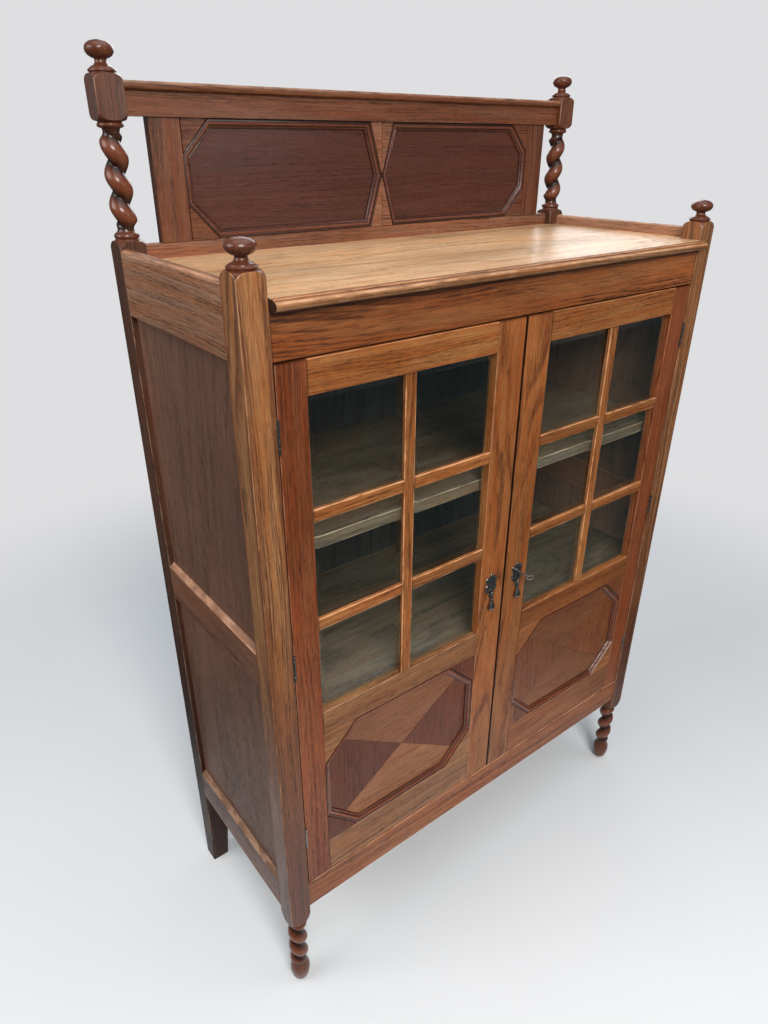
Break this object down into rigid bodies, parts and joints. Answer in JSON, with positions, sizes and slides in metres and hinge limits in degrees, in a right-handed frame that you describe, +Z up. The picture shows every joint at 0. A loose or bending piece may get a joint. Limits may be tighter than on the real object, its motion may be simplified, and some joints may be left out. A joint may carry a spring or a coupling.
{
  "type": "glazed bookcase with raised gallery",
  "caption": "Oak bookcase with two glazed and panelled doors, barley-twist feet and gallery columns, and a raised back gallery.",
  "frame": {"origin": "on the floor, under the centre of the box around the bookcase with its key in the lock", "axes": "+X to the right seen from the front, +Y from the doors to the back, +Z up"},
  "size_m": [1.07, 0.4738, 1.733],
  "materials": {
    "oak": "satin",
    "golden_oak": "satin",
    "dark_oak": "gloss",
    "panel_oak": "satin",
    "bronze": "aged",
    "steel": "worn",
    "pane": "clear"
  },
  "bodies": {
    "case": {"post_front_left": "oak", "post_front_right": "oak", "post_back_left": "oak", "post_back_right": "oak", "top_board": "golden_oak", "floor_board": "oak", "shelf_lower": "oak", "shelf_upper": "oak", "frieze_rail": "oak", "bottom_rail_front": "oak", "back_rail_top": "oak", "back_panel": "panel_oak", "side_rail_top_left": "oak", "side_rail_middle_left": "oak", "side_rail_bottom_left": "oak", "side_panel_upper_left": "panel_oak", "side_panel_lower_left": "panel_oak", "side_rail_top_right": "oak", "side_rail_middle_right": "oak", "side_rail_bottom_right": "oak", "side_panel_upper_right": "panel_oak", "side_panel_lower_right": "panel_oak", "gallery_column_left": "dark_oak", "gallery_column_right": "dark_oak", "gallery_surround_left": "oak", "gallery_surround_right": "oak", "gallery_panel": "dark_oak", "gallery_rail": "oak", "hinge_left_low": "bronze", "hinge_left_middle": "bronze", "hinge_left_high": "bronze", "hinge_right_low": "bronze", "hinge_right_middle": "bronze", "hinge_right_high": "bronze"},
    "door_left": {"door_left_stile_hinge": "oak", "door_left_stile_meeting": "oak", "door_left_rail_top": "oak", "door_left_rail_lock": "oak", "door_left_rail_bottom": "oak", "door_left_glazing_bars": "oak", "door_left_glass": "pane", "door_left_panel": "golden_oak", "door_left_surround": "oak", "handle_plate_left": "bronze"},
    "door_right": {"door_right_stile_hinge": "oak", "door_right_stile_meeting": "oak", "door_right_rail_top": "oak", "door_right_rail_lock": "oak", "door_right_rail_bottom": "oak", "door_right_glazing_bars": "oak", "door_right_glass": "pane", "door_right_panel": "golden_oak", "door_right_surround": "oak", "handle_plate_right": "bronze", "lock_case": "steel"},
    "door_bolt": {"door_left_bolt": "steel"},
    "drop_left": {"handle_drop_left": "bronze"},
    "drop_right": {"handle_drop_right": "bronze"},
    "key": {"key": "steel"},
    "lock_bolt": {"lock_bolt": "steel"}
  },
  "joints": [
    {"name": "door_left_hinge", "type": "hinge", "parent": "case", "child": "door_left", "pos_m": [-0.48975, -0.1944, 0.8245], "axis": [0, 0, -1], "range_deg": [0, 110]},
    {"name": "door_right_hinge", "type": "hinge", "parent": "case", "child": "door_right", "pos_m": [0.48975, -0.1944, 0.8245], "axis": [0, 0, 1], "range_deg": [0, 110]},
    {"name": "drop_left_swing", "type": "hinge", "parent": "door_left", "child": "drop_left", "pos_m": [-0.037, -0.2005, 0.806], "axis": [-1, 0, 0], "range_deg": [0, 90]},
    {"name": "drop_right_swing", "type": "hinge", "parent": "door_right", "child": "drop_right", "pos_m": [0.037, -0.2005, 0.806], "axis": [-1, 0, 0], "range_deg": [0, 90]},
    {"name": "key_turn", "type": "hinge", "parent": "door_right", "child": "key", "pos_m": [0.037, -0.215, 0.828], "axis": [0, -1, 0], "range_deg": [0, 90]},
    {"name": "lock_bolt_slide", "type": "slide", "parent": "door_right", "child": "lock_bolt", "axis": [-1, 0, 0], "range_m": [0, 0.009]},
    {"name": "door_bolt_slide", "type": "slide", "parent": "door_left", "child": "door_bolt", "axis": [0, 0, 1], "range_m": [0, 0.014]}
  ],
  "couplings": [
    {"joint": "lock_bolt_slide", "follows": "key_turn", "m_per_rad": 0.0057}
  ]
}
